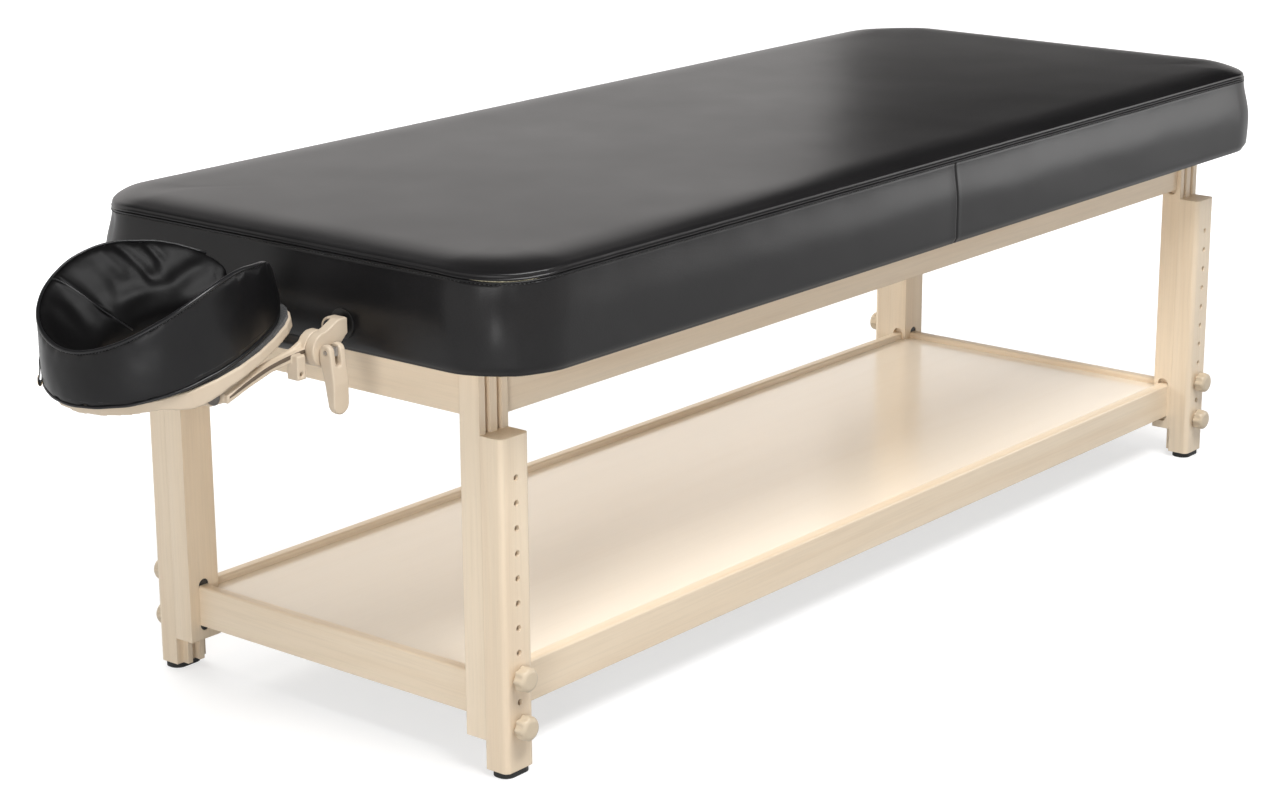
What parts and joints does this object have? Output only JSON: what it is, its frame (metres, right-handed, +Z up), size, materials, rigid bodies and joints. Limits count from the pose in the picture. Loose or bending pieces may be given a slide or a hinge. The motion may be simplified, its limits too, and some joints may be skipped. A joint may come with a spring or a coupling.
{
  "type": "massage table",
  "caption": "Stationary massage table: long padded vinyl top on a maple frame with bolted telescopic legs, storage shelf and adjustable crescent face cradle.",
  "frame": {"origin": "centre of the footprint with the face cradle included, on the floor", "axes": "+X along the table's length towards the foot end, the face cradle at -X; +Y towards the far long side, the cam lever on the near side at -Y; +Z up"},
  "size_m": [2.19, 0.762, 0.6576],
  "materials": {
    "vinyl": "soft satin",
    "vinyl_tab": "satin",
    "foam": "matte",
    "plywood": "matte",
    "maple": "satin lacquer",
    "shelf_board": "satin lacquer",
    "rubber_foot": "matte",
    "knob_cream": "semi-gloss",
    "zinc_steel": "brushed",
    "dark_steel": "dark, brushed",
    "black_plastic": "matte",
    "black_steel": "black satin",
    "cream_plastic": "satin",
    "hook_tape": "matte"
  },
  "bodies": {
    "table": {"top_cover": "vinyl", "foam_core": "foam", "deck_board": "plywood", "base_panel": "plywood", "frame_side_near": "maple", "frame_side_far": "maple", "frame_end_head": "maple", "frame_end_foot": "maple", "cross_braces": "maple", "socket_rings": "black_plastic", "post_head_near": "maple", "post_head_far": "maple", "post_foot_near": "maple", "post_foot_far": "maple", "threaded_inserts": "zinc_steel", "dowels": "maple", "apron_near": "maple", "apron_far": "maple", "apron_head": "maple", "apron_foot": "maple", "corner_blocks": "maple", "shelf_rail_near": "maple", "shelf_rail_far": "maple", "shelf_rail_head": "maple", "shelf_rail_foot": "maple", "shelf_cleats": "maple", "shelf_panel": "shelf_board"},
    "leg_head_near": {"extension_head_near": "maple", "foot_head_near": "rubber_foot"},
    "leg_head_far": {"extension_head_far": "maple", "foot_head_far": "rubber_foot"},
    "leg_foot_near": {"extension_foot_near": "maple", "foot_foot_near": "rubber_foot"},
    "leg_foot_far": {"extension_foot_far": "maple", "foot_foot_far": "rubber_foot"},
    "bolt_head_near_low": {"knob_head_near_low": "knob_cream"},
    "bolt_head_near_high": {"knob_head_near_high": "knob_cream"},
    "bolt_head_far_low": {"knob_head_far_low": "knob_cream"},
    "bolt_head_far_high": {"knob_head_far_high": "knob_cream"},
    "bolt_foot_near_low": {"knob_foot_near_low": "knob_cream"},
    "bolt_foot_near_high": {"knob_foot_near_high": "knob_cream"},
    "bolt_foot_far_low": {"knob_foot_far_low": "knob_cream"},
    "bolt_foot_far_high": {"knob_foot_far_high": "knob_cream"},
    "cradle_mount": {"cradle_rod_near": "black_steel", "cradle_rod_far": "black_steel", "cradle_bracket_near": "cream_plastic", "cradle_bracket_far": "cream_plastic", "hinge_bolt_near": "zinc_steel", "hinge_bolt_far": "zinc_steel", "lever_pin": "zinc_steel"},
    "cradle_arms": {"cradle_arm_near": "cream_plastic", "cradle_arm_far": "cream_plastic", "cradle_tube": "black_steel", "pivot_bolts": "dark_steel"},
    "cradle_platform": {"cradle_platform": "cream_plastic", "hook_pad": "hook_tape"},
    "cam_lever": {"cam_lever": "cream_plastic"},
    "face_cushion": {"face_cushion": "vinyl", "pull_tab": "vinyl_tab"}
  },
  "joints": [
    {"name": "leg_head_near_slide", "type": "slide", "parent": "table", "child": "leg_head_near", "axis": [0, 0, -1], "range_m": [0, 0.192]},
    {"name": "leg_head_far_slide", "type": "slide", "parent": "table", "child": "leg_head_far", "axis": [0, 0, -1], "range_m": [0, 0.192]},
    {"name": "leg_foot_near_slide", "type": "slide", "parent": "table", "child": "leg_foot_near", "axis": [0, 0, -1], "range_m": [0, 0.192]},
    {"name": "leg_foot_far_slide", "type": "slide", "parent": "table", "child": "leg_foot_far", "axis": [0, 0, -1], "range_m": [0, 0.192]},
    {"name": "bolt_head_near_low_slide", "type": "slide", "parent": "table", "child": "bolt_head_near_low", "axis": [0, -1, 0], "range_m": [0, 0.05]},
    {"name": "bolt_head_near_high_slide", "type": "slide", "parent": "table", "child": "bolt_head_near_high", "axis": [0, -1, 0], "range_m": [0, 0.05]},
    {"name": "bolt_head_far_low_slide", "type": "slide", "parent": "table", "child": "bolt_head_far_low", "axis": [0, 1, 0], "range_m": [0, 0.05]},
    {"name": "bolt_head_far_high_slide", "type": "slide", "parent": "table", "child": "bolt_head_far_high", "axis": [0, 1, 0], "range_m": [0, 0.05]},
    {"name": "bolt_foot_near_low_slide", "type": "slide", "parent": "table", "child": "bolt_foot_near_low", "axis": [0, -1, 0], "range_m": [0, 0.05]},
    {"name": "bolt_foot_near_high_slide", "type": "slide", "parent": "table", "child": "bolt_foot_near_high", "axis": [0, -1, 0], "range_m": [0, 0.05]},
    {"name": "bolt_foot_far_low_slide", "type": "slide", "parent": "table", "child": "bolt_foot_far_low", "axis": [0, 1, 0], "range_m": [0, 0.05]},
    {"name": "bolt_foot_far_high_slide", "type": "slide", "parent": "table", "child": "bolt_foot_far_high", "axis": [0, 1, 0], "range_m": [0, 0.05]},
    {"name": "cradle_slide", "type": "slide", "parent": "table", "child": "cradle_mount", "axis": [-1, 0, 0], "range_m": [0, 0.15]},
    {"name": "cradle_lift", "type": "hinge", "parent": "cradle_mount", "child": "cradle_arms", "pos_m": [-0.80332, 0, 0.54], "axis": [0, 1, 0], "range_deg": [-35, 25]},
    {"name": "cam_lever_swing", "type": "hinge", "parent": "cradle_mount", "child": "cam_lever", "pos_m": [-0.80332, -0.142, 0.54], "axis": [-1, 0, 0], "range_deg": [0, 110]},
    {"name": "platform_tilt", "type": "hinge", "parent": "cradle_arms", "child": "cradle_platform", "pos_m": [-0.96632, 0, 0.513], "axis": [0, -1, 0], "range_deg": [-3, 40]},
    {"name": "cushion_lift_off", "type": "slide", "parent": "cradle_platform", "child": "face_cushion", "axis": [-0.225, 0, 0.9744], "range_m": [0, 0.1]}
  ]
}
